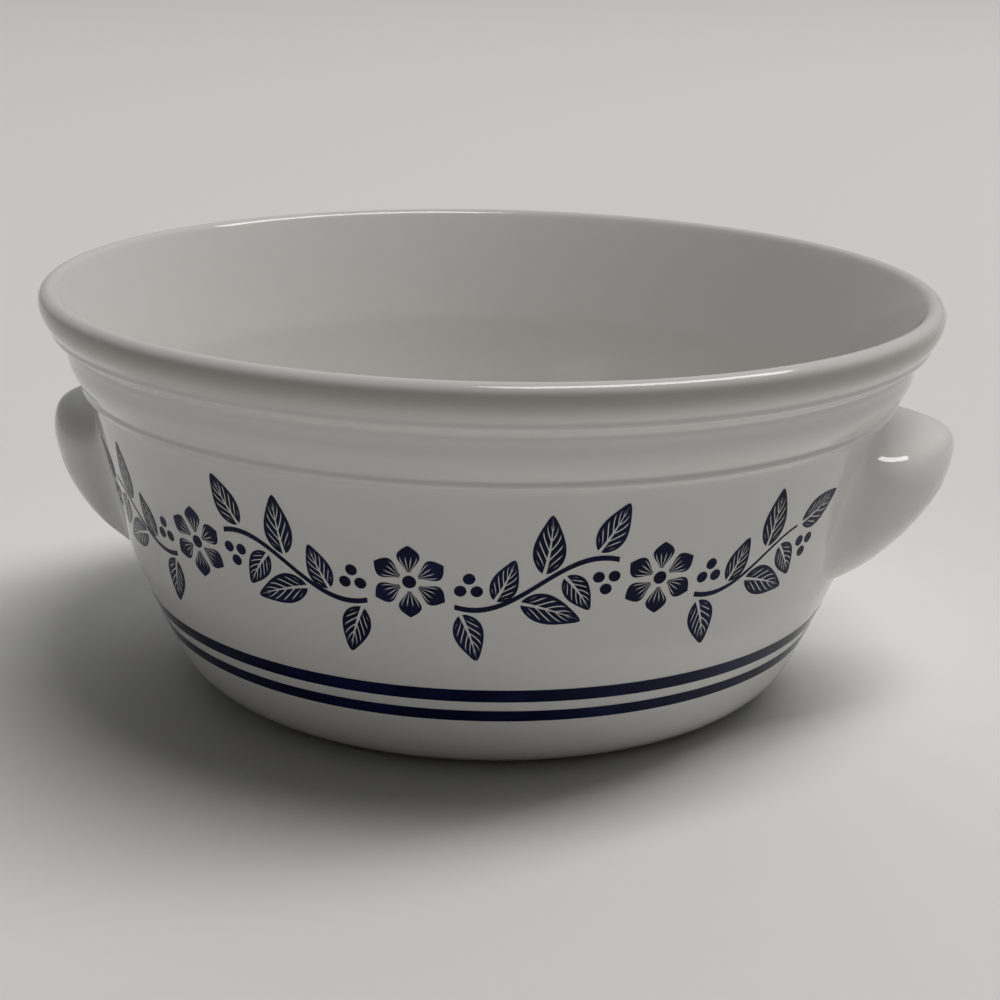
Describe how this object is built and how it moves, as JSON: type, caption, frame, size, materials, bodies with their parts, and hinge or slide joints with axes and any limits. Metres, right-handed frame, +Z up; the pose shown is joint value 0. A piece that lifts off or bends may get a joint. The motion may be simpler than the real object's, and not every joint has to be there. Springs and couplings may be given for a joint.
{
  "type": "soup bowl",
  "caption": "Round stoneware soup bowl with a full rim, stepped collar, foot ring, solid side lugs, printed bands and a leafy garland.",
  "frame": {"origin": "centre of the foot ring's resting face, at the bottom of the bowl", "axes": "+Z up through the middle of the bowl, +X along the line through the two lugs, -Y towards the printed front"},
  "size_m": [0.1659, 0.16, 0.072],
  "materials": {
    "glaze": "gloss",
    "blue_print": "gloss"
  },
  "bodies": {
    "root": {"bowl_body": "glaze", "left_lug": "glaze", "right_lug": "glaze", "upper_band": "blue_print", "lower_band": "blue_print", "garland_stems": "blue_print", "garland_leaves": "blue_print", "garland_flowers": "blue_print", "garland_berries": "blue_print"}
  },
  "joints": []
}
